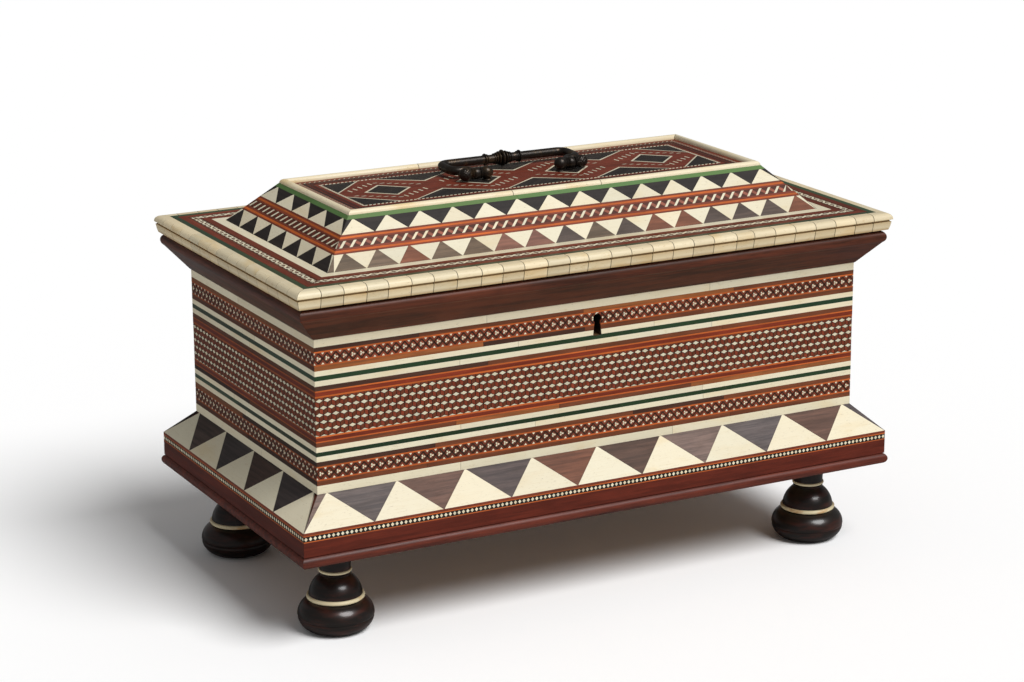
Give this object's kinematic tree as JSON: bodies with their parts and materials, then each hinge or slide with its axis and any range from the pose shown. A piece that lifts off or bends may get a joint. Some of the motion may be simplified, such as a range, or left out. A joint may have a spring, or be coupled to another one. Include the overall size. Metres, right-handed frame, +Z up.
{
  "type": "knife box",
  "caption": "Veneered knife chest on turned feet, with bone and mosaic bands, a hinged hipped lid, a swinging bail handle and a sliding-bolt lock.",
  "frame": {"origin": "on the floor, under the middle of the chest", "axes": "+X along the front to the right, +Y to the back, +Z up"},
  "size_m": [0.417, 0.2284, 0.2598],
  "materials": {
    "carcass_wood": "planed, oiled and aged",
    "mahogany": "waxed",
    "rosewood": "polished and worn",
    "bone": "polished bone with fine pores",
    "green_bone": "stained bone, uneven",
    "striped_wood": "polished strips",
    "mosaic": "polished end-grain mosaic with bone",
    "ebony": "polished",
    "iron": "hand filed and tarnished",
    "brass": "dull, aged",
    "bronze": "dark patina, rubbed at the high points"
  },
  "bodies": {
    "case": {"front_wall": "carcass_wood", "back_wall": "carcass_wood", "left_wall": "carcass_wood", "right_wall": "carcass_wood", "bottom_board": "carcass_wood", "plinth_front": "mahogany", "plinth_back": "mahogany", "plinth_left": "mahogany", "plinth_right": "mahogany", "plinth_bead": "mahogany", "cornice_front": "rosewood", "cornice_back": "rosewood", "cornice_left": "rosewood", "cornice_right": "rosewood", "wall_bone_bands": "bone", "wall_green_lines": "green_bone", "wall_striped_strips": "striped_wood", "guilloche_bands": "mosaic", "centre_mosaic_band": "mosaic", "plinth_bone_triangles": "bone", "plinth_rosewood_triangles": "rosewood", "plinth_edge_veneer": "mosaic", "foot_front_left": "ebony", "foot_front_right": "ebony", "foot_back_left": "ebony", "foot_back_right": "ebony", "foot_bone_rings": "bone", "lock_case": "iron", "lock_cover": "iron", "lock_spring": "iron", "lock_rivets": "iron", "hinge_case_leaves": "brass", "hinge_pins": "brass", "case_hinge_screws": "brass", "knife_racks": "carcass_wood"},
    "lid": {"lid_frame": "mahogany", "lid_front_slope": "carcass_wood", "lid_back_slope": "carcass_wood", "lid_left_slope": "carcass_wood", "lid_right_slope": "carcass_wood", "lid_top_board": "carcass_wood", "lid_edge_moulding": "bone", "lid_bone_triangles": "bone", "lid_dark_triangles": "ebony", "lid_green_lines": "green_bone", "lid_rope_band": "striped_wood", "lid_bone_fillet": "bone", "lid_border_mosaic": "mosaic", "lid_top_bead": "bone", "top_panel_ground": "ebony", "top_panel_strapwork": "mosaic", "hinge_lid_leaves": "brass", "lid_hinge_screws": "brass", "lid_staple": "iron", "left_handle_post": "bronze", "right_handle_post": "bronze", "handle_nuts": "iron"},
    "handle": {"handle_bail": "bronze"},
    "bolt": {"lock_bolt": "iron"}
  },
  "joints": [
    {"name": "lid_hinge", "type": "hinge", "parent": "case", "child": "lid", "pos_m": [0, 0.11165, 0.21085], "axis": [-1, 0, 0], "range_deg": [0, 100]},
    {"name": "handle_swing", "type": "hinge", "parent": "lid", "child": "handle", "pos_m": [-0.0015, -0.004, 0.2535], "axis": [1, 0, 0], "range_deg": [0, 176.5]},
    {"name": "bolt_slide", "type": "slide", "parent": "case", "child": "bolt", "axis": [1, 0, 0], "range_m": [0, 0.007]}
  ]
}
